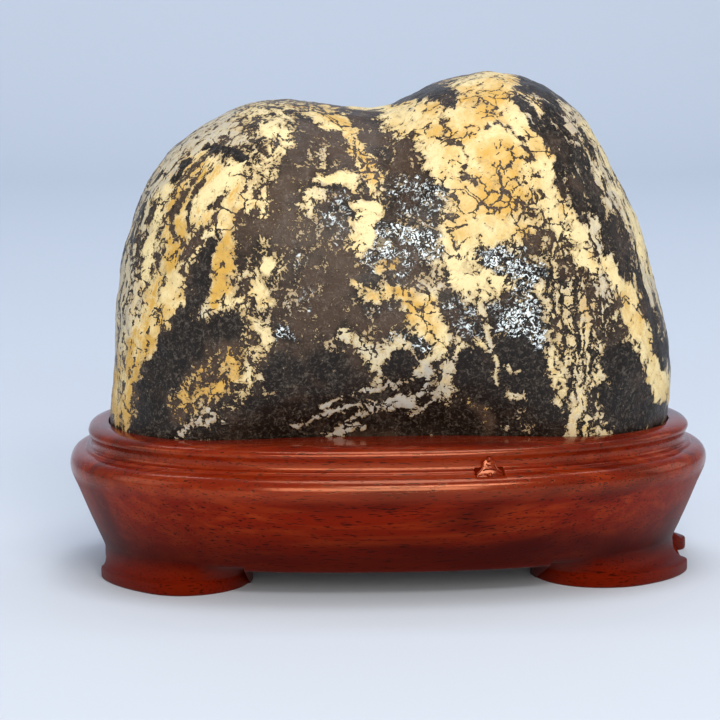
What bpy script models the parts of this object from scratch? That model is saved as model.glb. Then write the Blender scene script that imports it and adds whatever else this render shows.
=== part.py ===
"""A scholar's rock on its carved hardwood stand, built as two solids.

Run it with: blender --background --python part.py

The stone is one water-worn piece with two humps and a saddle between them. The stand is carved
from one block: a domed rim round the seat, a wider shelf, a flared apron and four flanged feet.
+X runs along the stand, -Y is its front, +Z is up, and the origin is on the table under the
middle of the stand. All sizes are in metres.
"""

import math

import bmesh
import bpy
from mathutils import Vector, noise

MM = 0.001

# The stand's plan: the widest line of the rim, a rounded oblong, blunter at its left end.
RIM_HALF_LENGTH = 84.8 * MM
RIM_HALF_DEPTH = 47.5 * MM
LEFT_BLUNTNESS = 2.5
RIGHT_BLUNTNESS = 2.2
STATIONS = 100

# Heights of the stand above the table.
APRON_BOTTOM = 7.7 * MM
UNDERSIDE = 10.5 * MM
FOOT_EDGE = 3.4 * MM
WAIST_HEIGHT = 9.0 * MM

# How far lines of the stand stand out from the rim's widest line.
WAIST_OUT = -3.8 * MM
LIP_THICKNESS = 9.0 * MM
FOOT_OUT = -1.0 * MM
FOOT_DEPTH = 24.0 * MM

# The apron and the round shoulder above it, as (outward, height) in millimetres.
APRON_PROFILE = [(-2.2, 12.6), (0.6, 19.2), (3.0, 25.2), (4.5, 28.4)]
SHOULDER_PROFILE = [(5.2, 31.4), (4.85, 33.4), (3.7, 34.9), (1.8, 35.6)]

# The bead and the domed rim above the shoulder, as (outward, height) in millimetres.
RIM_PROFILE = [
    (0.7, 36.0), (-0.7, 36.5), (-0.8, 38.3), (-0.1, 40.0), (-0.3, 41.2), (-1.8, 42.3), (-4.2, 42.9),
]

# Each foot is a pad round one corner of the plan. Measured along the rim's widest line, it starts
# this far from the middle of the stand's end and stops this far from the middle of its long side.
FOOT_FROM_END = 14.0 * MM
FOOT_END_ROUND = 3.0 * MM
LEFT_FOOT_TO_SIDE = 43.5 * MM
RIGHT_FOOT_TO_SIDE = 47.0 * MM
FOOT_SIDE_ROUND = 26.0 * MM
FOOT_CURL = 28.0 * MM
FOOT_WALL = 2.0 * MM

# Deep inside the plan, lines are drawn towards the stand's spine, which runs this far each way.
SPINE_HALF_LENGTH = 36.0 * MM
SPINE_DEPTH = -8.0 * MM

# How much further the feet reach at the stand's ends.
LEFT_SPLAY = -1.0 * MM
FRONT_RIGHT_SPLAY = 2.2 * MM
REAR_RIGHT_SPLAY = 6.2 * MM

# The ornament on the rim's front face.
ORNAMENT_X = 24.6 * MM
ORNAMENT_WIDTH = 8.4 * MM
ORNAMENT_TOP = 40.3 * MM
ORNAMENT_BOTTOM = 34.9 * MM

# The stone: a closed body whose lower part is cut off flat where it sits in the stand.
STONE_MIDDLE_X = 0.0
STONE_MIDDLE_Z = 76.0 * MM
STONE_BASE_Z = 38.2 * MM
STONE_FRONT_DEPTH = 43.0 * MM
STONE_BACK_DEPTH = 40.5 * MM
STONE_BLUNTNESS = 2.4
SEAT_GAP = 0.4 * MM
ICOSPHERE_LEVEL = 5

# The stone's outline seen from the front, as (x, z) in millimetres, clockwise from the lower left.
# The points below z 38 shape the flanks and are cut away with the base.
STONE_OUTLINE = [
    (-77.6, 34.0), (-78.8, 42.0), (-78.1, 51.0), (-77.0, 60.0), (-77.0, 68.0), (-76.4, 76.5),
    (-74.7, 85.0), (-73.9, 89.8), (-73.3, 92.4), (-72.3, 95.2), (-71.7, 98.3), (-68.9, 106.4),
    (-65.2, 113.0), (-60.9, 118.3), (-55.1, 123.2),
    (-46.8, 128.0), (-38.6, 131.6), (-29.4, 132.5), (-19.7, 131.6), (-10.6, 130.6), (-1.5, 130.5),
    (5.0, 133.1), (13.0, 136.6), (23.6, 139.5), (30.3, 139.8), (40.3, 137.5), (48.5, 132.6),
    (55.4, 125.8), (62.6, 112.3), (69.8, 98.4), (74.0, 83.3), (77.6, 70.1), (79.6, 56.0),
    (78.8, 44.5), (75.4, 30.0), (66.0, 17.0), (40.0, 8.0), (0.0, 5.0), (-42.0, 8.0), (-68.0, 18.0),
]

# Swellings and hollows of the stone: centre (x, y, z), reach and height, all in millimetres.
STONE_RELIEF = [
    ((-75.5, -3.0, 89.0), 4.6, 1.5),     # the small knob high on the left edge
    ((-6.0, -30.0, 122.0), 17.0, -3.6),  # the saddle running down the front
    ((-4.0, 30.0, 124.0), 18.0, -3.0),   # the saddle running down the back
    ((34.0, -28.0, 112.0), 20.0, 2.6),   # the right hump's brow
    ((-40.0, -33.0, 108.0), 20.0, 1.8),  # the left hump's brow
    ((-38.0, -38.0, 58.0), 14.0, 1.6),   # the swelling low on the left
    ((-18.0, -40.0, 72.0), 11.0, -1.4),  # the hollow beside it
    ((8.0, -42.0, 63.0), 12.0, 1.8),     # the fold over the undercut
    ((52.0, -32.0, 70.0), 16.0, 1.6),    # the right flank
    ((30.0, -40.0, 78.0), 10.0, -1.2),   # the dip below the bright patch
    ((-62.0, -24.0, 88.0), 13.0, -1.6),  # the flattened left face
    ((-30.0, 38.0, 86.0), 18.0, 2.0),    # a broad swelling on the back
    ((38.0, 36.0, 70.0), 16.0, -2.2),    # a worn hollow on the back
]
UNDERCUT = 12.0 * MM
WAVES = 0.9 * MM
WAVE_LENGTH = 24.0 * MM


def clear_scene():
    """Removes the startup scene's objects."""
    for obj in list(bpy.data.objects):
        bpy.data.objects.remove(obj)


def smooth_step(value, low, high):
    """0 below low, 1 above high, and smooth between them."""
    share = min(1.0, max(0.0, (value - low) / (high - low)))
    return share * share * (3.0 - 2.0 * share)


def make_material(name, colour, roughness):
    """A plain non-metallic Principled material."""
    material = bpy.data.materials.new(name)
    material.use_nodes = True
    shader = material.node_tree.nodes["Principled BSDF"]
    shader.inputs["Base Color"].default_value = (*colour, 1.0)
    shader.inputs["Roughness"].default_value = roughness
    shader.inputs["Metallic"].default_value = 0.0
    return material


def make_object(name, mesh_builder, material):
    """Turns a finished bmesh into a named object with one material."""
    mesh = bpy.data.meshes.new(name)
    mesh_builder.to_mesh(mesh)
    mesh_builder.free()
    mesh.materials.append(material)
    obj = bpy.data.objects.new(name, mesh)
    bpy.context.scene.collection.objects.link(obj)
    return obj


def hide_as_cutter(obj):
    """Marks a helper that only serves a Boolean."""
    obj.hide_render = True
    obj.display_type = "WIRE"


def add_boolean(target, helper, operation):
    """Joins or cuts target with helper, by the exact solver."""
    modifier = target.modifiers.new(f"{operation.lower()} {helper.name}", "BOOLEAN")
    modifier.operation = operation
    modifier.solver = "EXACT"
    modifier.object = helper
    hide_as_cutter(helper)


def rim_point(turn):
    """A point of the rim's widest line, at an angle round the plan."""
    bluntness = LEFT_BLUNTNESS if math.cos(turn) < 0 else RIGHT_BLUNTNESS
    power = 2.0 / bluntness
    x = RIM_HALF_LENGTH * math.copysign(abs(math.cos(turn)) ** power, math.cos(turn))
    y = RIM_HALF_DEPTH * math.copysign(abs(math.sin(turn)) ** power, math.sin(turn))
    return Vector((x, y))


def plan_stations(count):
    """Evenly spaced (point, outward normal, arc from the end) round the rim's widest line.

    The arc is the way along the line from the middle of the stand's nearer end.
    """
    fine = 4000
    line = [rim_point(math.tau * (i + 0.5) / fine) for i in range(fine)]
    reached = [0.0]
    for i in range(fine):
        reached.append(reached[-1] + (line[(i + 1) % fine] - line[i]).length)
    total = reached[-1]
    stations = []
    i = 0
    for k in range(count):
        wanted = total * k / count
        while reached[i + 1] < wanted:
            i += 1
        share = (wanted - reached[i]) / (reached[i + 1] - reached[i])
        point = line[i].lerp(line[(i + 1) % fine], share)
        along = (line[(i + 2) % fine] - line[(i - 1) % fine]).normalized()
        normal = Vector((along.y, -along.x))
        from_end = wanted % (total / 2.0)
        stations.append((point, normal, min(from_end, total / 2.0 - from_end)))
    return stations, total / 4.0


def foot_shape(point, from_end, quarter):
    """(weight, outward): how much of a foot a station has, and how far out the foot's edge is there.

    The pad's outline curves inward at both of its ends, and its wall rises past them.
    """
    from_side = quarter - from_end
    to_side = LEFT_FOOT_TO_SIDE if point.x < 0 else RIGHT_FOOT_TO_SIDE
    past_end = max(0.0, FOOT_FROM_END - from_end) / FOOT_END_ROUND
    past_side = max(0.0, to_side + FOOT_SIDE_ROUND - from_side) / FOOT_SIDE_ROUND
    end_inset = FOOT_END_ROUND * (1.0 - math.sqrt(1.0 - min(0.97, past_end) ** 2))
    side_inset = FOOT_CURL * (1.0 - math.sqrt(1.0 - min(0.97, past_side) ** 2))
    splay = REAR_RIGHT_SPLAY if point.y > 0 else FRONT_RIGHT_SPLAY
    splay = LEFT_SPLAY if point.x < 0 else splay
    outward = FOOT_OUT + splay * smooth_step(abs(point.x), 58.0 * MM, 80.0 * MM) - end_inset - side_inset
    first = FOOT_FROM_END - FOOT_END_ROUND
    weight = min(
        smooth_step(from_end, first - FOOT_WALL, first),
        smooth_step(from_side, to_side - FOOT_WALL, to_side),
    )
    return weight, outward


def lower_profile(weight, edge):
    """(outward, height) of the stand's lower lines, from the underside out and up to the waist."""
    inner = WAIST_OUT - FOOT_DEPTH
    lip = WAIST_OUT - LIP_THICKNESS
    under = smooth_step(WAIST_OUT - edge, 0.0, 3.0 * MM)
    cove_out = edge - 1.5 * MM + under * 1.7 * MM
    cove_top = WAIST_OUT + 0.5 * MM - under * 1.5 * MM
    on_foot = [
        (inner - 1.5 * MM, UNDERSIDE),
        (inner - 0.2 * MM, UNDERSIDE - 0.5 * MM),
        (inner, 0.0),
        (edge - 0.5 * MM, 0.0),
        (edge, 0.7 * MM),
        (edge - 0.1 * MM, FOOT_EDGE),
        (cove_out, FOOT_EDGE + 1.2 * MM + under * 1.0 * MM),
        (cove_top, WAIST_HEIGHT - 1.8 * MM + under * 0.4 * MM),
        (WAIST_OUT, WAIST_HEIGHT),
    ]
    between = [
        (inner - 1.5 * MM, UNDERSIDE),
        (lip - 1.0 * MM, UNDERSIDE),
        (lip, APRON_BOTTOM + 0.5 * MM),
        (WAIST_OUT - 0.8 * MM, APRON_BOTTOM),
        (WAIST_OUT - 0.5 * MM, APRON_BOTTOM + 0.1 * MM),
        (WAIST_OUT - 0.4 * MM, APRON_BOTTOM + 0.3 * MM),
        (WAIST_OUT - 0.2 * MM, APRON_BOTTOM + 0.6 * MM),
        (WAIST_OUT - 0.1 * MM, APRON_BOTTOM + 0.9 * MM),
        (WAIST_OUT, WAIST_HEIGHT),
    ]
    return [
        (b[0] + weight * (a[0] - b[0]), b[1] + weight * (a[1] - b[1]))
        for a, b in zip(on_foot, between)
    ]


def upper_profile():
    """(outward, height) of the apron, shoulder, bead and rim, from above the waist to the seat's top."""
    return [(out * MM, up * MM) for out, up in APRON_PROFILE + SHOULDER_PROFILE + RIM_PROFILE]


def plan_place(point, normal, outward):
    """A plan point that far outside the rim's widest line, or inside it towards the stand's spine."""
    plan = point + normal * max(outward, SPINE_DEPTH)
    if outward >= SPINE_DEPTH:
        return plan
    spine = Vector((min(SPINE_HALF_LENGTH, max(-SPINE_HALF_LENGTH, plan.x)), 0.0))
    return plan + (spine - plan).normalized() * (SPINE_DEPTH - outward)


def place_line(vertices, stations, quarter, index):
    """Puts one loop of the stand's vertices on its line of the profile."""
    for vertex, (point, normal, from_end) in zip(vertices, stations):
        weight, edge = foot_shape(point, from_end, quarter)
        outward, height = (lower_profile(weight, edge) + upper_profile())[index]
        plan = plan_place(point, normal, outward)
        vertex.co = (plan.x, plan.y, height)


def build_stand_block(material):
    """The stand without its seat: one loop, extruded from line to line of the profile, and capped."""
    stations, quarter = plan_stations(STATIONS)
    lines = len(lower_profile(1.0, FOOT_OUT)) + len(upper_profile())
    builder = bmesh.new()
    loop = bmesh.ops.create_circle(builder, segments=STATIONS, radius=RIM_HALF_LENGTH)["verts"]
    edges = [builder.edges.get((a, b)) for a, b in zip(loop, loop[1:] + loop[:1])]
    place_line(loop, stations, quarter, 0)
    bmesh.ops.contextual_create(builder, geom=edges)
    for index in range(1, lines):
        made = bmesh.ops.extrude_edge_only(builder, edges=edges)["geom"]
        new_vertices = {v for v in made if isinstance(v, bmesh.types.BMVert)}
        following = []
        for vertex in loop:
            following.append(next(e.other_vert(vertex) for e in vertex.link_edges
                                  if e.other_vert(vertex) in new_vertices))
        loop = following
        edges = [builder.edges.get((a, b)) for a, b in zip(loop, loop[1:] + loop[:1])]
        place_line(loop, stations, quarter, index)
    bmesh.ops.contextual_create(builder, geom=edges)
    bmesh.ops.recalc_face_normals(builder, faces=builder.faces)
    bmesh.ops.triangulate(builder, faces=[f for f in builder.faces if len(f.verts) > 4])
    return make_object("stand", builder, material)


def ornament_frame():
    """The ornament's place on the rim: (plan point, outward normal, direction along the rim)."""
    stations, _ = plan_stations(1600)
    front = [s for s in stations if s[0].y < 0]
    point, normal, _ = min(front, key=lambda s: abs(s[0].x - ORNAMENT_X))
    return point, normal, Vector((-normal.y, normal.x))


def ornament_place(across, outward, height):
    """A point of the ornament, from its offset along the rim, outward and up."""
    point, normal, along = ornament_frame()
    plan = point + along * across + normal * outward
    return (plan.x, plan.y, height)


def build_ornament_plaque(material):
    """The ornament's bell-shaped plaque: its outline, extruded out of the rim's face."""
    half = ORNAMENT_WIDTH / 2.0
    tall = ORNAMENT_TOP - ORNAMENT_BOTTOM
    half_outline = [(1.0, 0.0), (0.94, 0.22), (0.62, 0.42), (0.42, 0.7), (0.34, 0.92), (0.16, 1.0)]
    outline = [(-a, b) for a, b in half_outline] + [(a, b) for a, b in reversed(half_outline)]
    builder = bmesh.new()
    back = [
        builder.verts.new(ornament_place(a * half, -3.0 * MM, ORNAMENT_BOTTOM + b * tall))
        for a, b in outline
    ]
    face = builder.faces.new(back)
    made = bmesh.ops.extrude_face_region(builder, geom=[face])["geom"]
    front = [v for v in made if isinstance(v, bmesh.types.BMVert)]
    for vertex in front:
        low = max(0.0, 1.0 - (vertex.co.z - ORNAMENT_BOTTOM) / tall)
        _, normal, _ = ornament_frame()
        out = 3.0 * MM + 0.6 * MM + 2.4 * MM * low ** 1.6
        vertex.co.x += normal.x * out
        vertex.co.y += normal.y * out
    bmesh.ops.recalc_face_normals(builder, faces=builder.faces)
    return make_object("ornament_plaque", builder, material)


def build_ornament_bead(name, outward, height, radius, material):
    """A round bead on the ornament."""
    builder = bmesh.new()
    made = bmesh.ops.create_uvsphere(builder, u_segments=12, v_segments=8, radius=radius)
    bmesh.ops.translate(builder, verts=made["verts"], vec=ornament_place(0.0, outward, height))
    return make_object(name, builder, material)


def stone_outline_reach(angle):
    """The distance from the stone's middle to its outline, in the front view, at an angle."""
    middle = Vector((STONE_MIDDLE_X, STONE_MIDDLE_Z))
    polar = sorted(
        (math.atan2(z * MM - middle.y, x * MM - middle.x), math.hypot(x * MM - middle.x, z * MM - middle.y))
        for x, z in STONE_OUTLINE
    )
    count = len(polar)
    following = next((i for i in range(count) if polar[i][0] > angle), 0)

    def knot(i):
        lap, index = divmod(i, count)
        return polar[index][0] + math.tau * lap, polar[index][1]

    first = following - 1 if polar[following][0] > angle else -1
    if angle > polar[-1][0]:
        first = count - 1
    (a0, r0), (a1, r1), (a2, r2), (a3, r3) = (knot(first + k) for k in (-1, 0, 1, 2))
    share = (angle - a1) / (a2 - a1)
    slope_1 = (r2 - r0) / (a2 - a0) * (a2 - a1)
    slope_2 = (r3 - r1) / (a3 - a1) * (a2 - a1)
    s2, s3 = share * share, share ** 3
    return (
        (2 * s3 - 3 * s2 + 1) * r1
        + (s3 - 2 * s2 + share) * slope_1
        + (3 * s2 - 2 * s3) * r2
        + (s3 - s2) * slope_2
    )


def stone_front_depth(x, z):
    """The front's depth, drawn in below where the stone overhangs the stand's rim."""
    across = math.exp(-(((x + 2.0 * MM) / (46.0 * MM)) ** 4))
    below = smooth_step(STONE_MIDDLE_Z - z, -4.0 * MM, 42.0 * MM)
    return STONE_FRONT_DEPTH - UNDERCUT * across * below


def stone_surface(direction):
    """The stone's surface point for a direction on the unit sphere."""
    rho = math.hypot(direction.x, direction.z)
    angle = math.atan2(direction.z, direction.x)
    power = 2.0 / STONE_BLUNTNESS
    reach = stone_outline_reach(angle) * rho ** power
    x = STONE_MIDDLE_X + reach * math.cos(angle)
    z = STONE_MIDDLE_Z + reach * math.sin(angle)
    depth = stone_front_depth(x, z) if direction.y < 0 else STONE_BACK_DEPTH
    y = math.copysign(depth * abs(direction.y) ** power, direction.y)
    point = Vector((x, y, z))
    outward = Vector((x / 0.08, y / 0.043, (z - STONE_MIDDLE_Z) / 0.067)).normalized()
    lift = WAVES * noise.fractal(point / WAVE_LENGTH, 1.0, 2.2, 3, noise_basis="PERLIN_ORIGINAL")
    lift *= smooth_step(abs(direction.y), 0.05, 0.5)
    for centre, reach_mm, height_mm in STONE_RELIEF:
        away = (point - Vector(centre) * MM).length / (reach_mm * MM)
        lift += height_mm * MM * math.exp(-away * away)
    return point + outward * lift


def stone_builder(base_height, swelling):
    """The stone's bmesh: a worked sphere, cut off flat at its base and swollen by a gap."""
    builder = bmesh.new()
    bmesh.ops.create_icosphere(builder, subdivisions=ICOSPHERE_LEVEL, radius=1.0)
    for vertex in builder.verts:
        vertex.co = stone_surface(vertex.co.normalized())
    builder.normal_update()
    moves = [(vertex, vertex.normal * swelling) for vertex in builder.verts]
    for vertex, move in moves:
        vertex.co += move
    cut = bmesh.ops.bisect_plane(
        builder, geom=builder.verts[:] + builder.edges[:] + builder.faces[:], dist=1e-6,
        plane_co=(0.0, 0.0, base_height), plane_no=(0.0, 0.0, -1.0), clear_outer=True,
    )
    rim = [e for e in cut["geom_cut"] if isinstance(e, bmesh.types.BMEdge)]
    bmesh.ops.contextual_create(builder, geom=rim)
    bmesh.ops.dissolve_degenerate(builder, dist=0.15 * MM, edges=builder.edges)
    bmesh.ops.triangulate(builder, faces=builder.faces)
    bmesh.ops.recalc_face_normals(builder, faces=builder.faces)
    return builder


def main():
    """Builds the stone and the stand."""
    clear_scene()
    stone_material = make_material("marbled stone", (0.42, 0.35, 0.24), 0.38)
    wood_material = make_material("lacquered hardwood", (0.25, 0.045, 0.015), 0.25)

    make_object("stone", stone_builder(STONE_BASE_Z, 0.0), stone_material)

    stand = build_stand_block(wood_material)
    add_boolean(stand, build_ornament_plaque(wood_material), "UNION")
    upper_bead = build_ornament_bead("upper_bead", 0.7 * MM, 39.6 * MM, 0.85 * MM, wood_material)
    lower_bead = build_ornament_bead("lower_bead", 2.9 * MM, 35.7 * MM, 0.85 * MM, wood_material)
    add_boolean(stand, upper_bead, "UNION")
    add_boolean(stand, lower_bead, "UNION")
    seat = make_object("seat", stone_builder(STONE_BASE_Z - SEAT_GAP, SEAT_GAP), wood_material)
    add_boolean(stand, seat, "DIFFERENCE")
    for obj in (bpy.data.objects["stone"], stand):
        obj.data.shade_smooth()


main()
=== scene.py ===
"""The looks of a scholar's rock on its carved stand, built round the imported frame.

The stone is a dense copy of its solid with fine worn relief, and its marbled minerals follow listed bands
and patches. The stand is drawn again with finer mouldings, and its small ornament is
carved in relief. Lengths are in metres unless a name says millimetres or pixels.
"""

import logging
import math
from dataclasses import dataclass, field
from enum import Enum

import bmesh
import bpy
import numpy as np
from mathutils import Matrix, Quaternion, Vector, noise


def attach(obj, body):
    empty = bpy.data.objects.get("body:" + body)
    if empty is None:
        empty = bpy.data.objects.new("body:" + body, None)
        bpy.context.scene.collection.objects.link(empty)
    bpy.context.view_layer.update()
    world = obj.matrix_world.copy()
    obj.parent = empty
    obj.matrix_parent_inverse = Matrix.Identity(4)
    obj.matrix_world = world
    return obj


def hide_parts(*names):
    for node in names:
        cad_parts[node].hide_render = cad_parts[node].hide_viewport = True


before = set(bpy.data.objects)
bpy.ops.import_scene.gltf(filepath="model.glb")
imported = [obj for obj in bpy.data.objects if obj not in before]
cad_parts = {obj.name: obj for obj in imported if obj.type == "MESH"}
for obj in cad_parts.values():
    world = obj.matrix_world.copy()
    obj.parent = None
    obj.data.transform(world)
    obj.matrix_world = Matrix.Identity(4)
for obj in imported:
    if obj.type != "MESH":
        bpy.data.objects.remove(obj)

LOG = logging.getLogger("scholars_rock")
MM = 0.001
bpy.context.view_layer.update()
NOISE, MATH, RANGE, MIX = "ShaderNodeTexNoise", "ShaderNodeMath", "ShaderNodeMapRange", "ShaderNodeMix"


def linear(hex_colour: str) -> tuple[float, float, float, float]:
    """Turns an sRGB hex colour into the linear colour that a shader takes.

    Args:
        hex_colour: Six hex digits, with or without a leading hash.

    Returns:
        Linear red, green, blue and an alpha of 1.
    """
    digits = hex_colour.lstrip("#")
    parts = [int(digits[i : i + 2], 16) / 255.0 for i in (0, 2, 4)]
    red, green, blue = (p / 12.92 if p <= 0.04045 else ((p + 0.055) / 1.055) ** 2.4 for p in parts)
    return (red, green, blue, 1.0)


def smooth_step(value: float, low: float, high: float) -> float:
    """Rises smoothly from 0 at low to 1 at high.

    Args:
        value: The number to place.
        low: Where the rise starts.
        high: Where it ends.

    Returns:
        A share from 0 to 1.
    """
    share = min(1.0, max(0.0, (value - low) / (high - low)))
    return share * share * (3.0 - 2.0 * share)


def add_node(tree: bpy.types.NodeTree, kind: str, inputs: dict | None = None, output: int | str = 0,
             **settings: object) -> bpy.types.NodeSocket:
    """Adds a node with its settings, its constants and its links.

    Args:
        tree: The node tree that the node goes into.
        kind: The node's Blender type name.
        inputs: Input name or index, and either a constant or the output socket that feeds it.
        output: Name or index of the wanted output.
        **settings: Properties of the node itself.

    Returns:
        The wanted output of the new node.
    """
    node = tree.nodes.new(kind)
    for name, value in settings.items():
        setattr(node, name, value)
    for socket, value in (inputs or {}).items():
        if isinstance(value, bpy.types.NodeSocket):
            tree.links.new(value, node.inputs[socket])
        else:
            node.inputs[socket].default_value = value
    return node.outputs[output]


def new_piece(name: str, builder: bmesh.types.BMesh, material: bpy.types.Material) -> bpy.types.Object:
    """Turns a finished bmesh into a smooth-shaded object in the scene.

    Args:
        name: The object's name.
        builder: The bmesh, which is freed.
        material: The material of the whole piece.

    Returns:
        The new object, at the origin.
    """
    mesh = bpy.data.meshes.new(name)
    builder.to_mesh(mesh)
    builder.free()
    mesh.materials.append(material)
    piece = bpy.data.objects.new(name, mesh)
    bpy.context.scene.collection.objects.link(piece)
    mesh.shade_smooth()
    return piece


def apply_modifiers(piece: bpy.types.Object) -> None:
    """Makes the piece's modifiers part of its mesh.

    Args:
        piece: The object whose modifiers are applied.
    """
    graph = bpy.context.evaluated_depsgraph_get()
    mesh = bpy.data.meshes.new_from_object(piece.evaluated_get(graph), depsgraph=graph)
    piece.modifiers.clear()
    piece.data = mesh


@dataclass(frozen=True)
class ReferenceView:
    """The camera: where it stands, where it looks, and where a point lands in its square frame."""

    azimuth_deg: float = -3.0
    elevation_deg: float = 11.5
    roll_deg: float = 0.1
    distance: float = 0.80
    focal_px: float = 2813.0
    frame_px: float = 720.0
    aim: tuple[float, float, float] = (0.0, 0.0, 0.030)
    aim_px: tuple[float, float] = (388.9, 460.3)
    sensor_mm: float = 36.0

    def position(self) -> Vector:
        """The camera's place."""
        turn, rise = math.radians(self.azimuth_deg), math.radians(self.elevation_deg)
        back = Vector((math.sin(turn) * math.cos(rise), -math.cos(turn) * math.cos(rise), math.sin(rise)))
        return Vector(self.aim) + back * self.distance

    def orientation(self) -> Matrix:
        """The camera's rotation, from its own axes to the world's.

        Returns:
            A 3 by 3 matrix whose columns are the camera's right, up and back.
        """
        back = (self.position() - Vector(self.aim)).normalized()
        right = Vector((0.0, 0.0, 1.0)).cross(back).normalized()
        level = Matrix((right, back.cross(right), back)).transposed()
        half = self.frame_px / 2.0
        towards = Vector((self.aim_px[0] - half, half - self.aim_px[1], -self.focal_px)).normalized()
        swing = Vector((0.0, 0.0, -1.0)).rotation_difference(towards).to_matrix()
        roll = Matrix.Rotation(math.radians(self.roll_deg), 3, "Z")
        return level @ (swing @ roll).transposed()

    def pixels(self, points: np.ndarray) -> np.ndarray:
        """Projects points into the square frame.

        Args:
            points: World points, one a row.

        Returns:
            Pixel positions from the frame's upper left corner, one a row.
        """
        turned = (points - np.array(self.position())) @ np.array(self.orientation())
        half = self.frame_px / 2.0
        scale = self.focal_px / -turned[:, 2]
        return np.stack([half + turned[:, 0] * scale, half - turned[:, 1] * scale], axis=1)

    def build(self) -> bpy.types.Object:
        """Makes the camera and gives it to the scene.

        Returns:
            The camera object.
        """
        data = bpy.data.cameras.new("reference_view")
        data.sensor_width = self.sensor_mm
        data.lens = self.focal_px * self.sensor_mm / self.frame_px
        data.clip_start, data.clip_end = 0.01, 20.0
        camera = bpy.data.objects.new("reference_view", data)
        camera.matrix_world = Matrix.Translation(self.position()) @ self.orientation().to_4x4()
        bpy.context.scene.collection.objects.link(camera)
        bpy.context.scene.camera = camera
        return camera


class Mineral(Enum):
    """What a mark on the stone is made of: its tone, warmth, greyness, brownness, speckle, streakiness and glint, the
    share of painted glints.

    Tone runs from 0, dark, to 1, light. The rest run from 0, none, to 1, full.
    """

    CREAM = (0.82, 0.18, 0.05, 0.50, 0.20, 0.10, 0.00)
    YELLOW = (0.86, 0.48, 0.00, 0.50, 0.20, 0.08, 0.00)
    OCHRE = (0.80, 0.95, 0.00, 0.80, 0.30, 0.20, 0.00)
    STREAKED_CREAM = (0.75, 0.50, 0.15, 0.95, 0.15, 1.00, 0.00)
    STREAKED_GREY = (0.69, 0.12, 0.60, 0.45, 0.15, 1.00, 0.00)
    MOTTLED_GREY = (0.57, 0.15, 0.45, 0.35, 0.50, 0.75, 0.00)
    SPECKLED_CREAM = (0.57, 0.28, 0.18, 0.60, 0.50, 0.10, 0.00)
    SPECKLED_OCHRE = (0.49, 0.95, 0.00, 0.85, 0.50, 0.10, 0.00)
    TAUPE = (0.66, 0.05, 0.62, 0.70, 0.30, 0.35, 0.00)
    PALE = (0.80, 0.05, 0.50, 0.30, 0.40, 0.20, 0.00)
    WISP = (0.76, 0.00, 0.90, 0.10, 0.30, 0.30, 0.00)
    SPECKLED_DARK = (0.30, 0.12, 0.55, 0.75, 0.90, 0.05, 0.10)
    BROWN = (0.20, 0.20, 0.35, 0.95, 0.70, 0.05, 0.00)
    DARK = (0.00, 0.00, 0.50, 0.25, 0.50, 0.10, 0.00)
    BAND = (0.12, 0.00, 0.80, 0.35, 0.30, 0.70, 0.00)
    CRACK = (0.24, 0.20, 0.20, 0.75, 0.30, 0.00, 0.00)
    GLINT = (0.42, 0.00, 0.45, 0.20, 0.60, 0.00, 1.00)
    DIM_GLINT = (0.30, 0.00, 0.60, 0.55, 0.70, 0.00, 0.62)


@dataclass(frozen=True)
class Mark:
    """A band or patch of one mineral, along a path in the reference view, in pixels."""

    name: str
    mineral: Mineral
    width_px: float
    path_px: tuple[tuple[float, float], ...]
    strength: float = 1.0


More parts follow.
